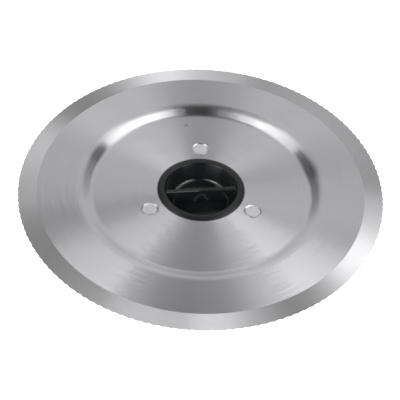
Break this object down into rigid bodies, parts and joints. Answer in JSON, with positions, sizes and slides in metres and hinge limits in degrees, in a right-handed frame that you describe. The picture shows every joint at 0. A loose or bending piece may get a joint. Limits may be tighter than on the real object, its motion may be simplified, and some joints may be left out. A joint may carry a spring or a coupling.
{
  "type": "food slicer blade",
  "caption": "Round dished steel slicing blade with a serrated ground edge, a black grip cup riveted in its centre and a helical drive gear behind.",
  "frame": {"origin": "centre of the spindle sleeve's rear end, which is the lowest face", "axes": "+Z along the spindle axis, out of the blade's front face; the grip bar runs nearly along X"},
  "size_m": [0.17, 0.17, 0.0211],
  "materials": {
    "blade_steel": "fine concentric brushing, ground bevel",
    "hub_plastic": "satin gloss moulding",
    "gear_plastic": "matt moulding",
    "rivet_steel": "satin"
  },
  "bodies": {
    "root": {"blade_disc": "blade_steel", "hub": "hub_plastic", "drive_gear": "gear_plastic", "rivet_1": "rivet_steel", "rivet_2": "rivet_steel", "rivet_3": "rivet_steel"}
  },
  "joints": []
}
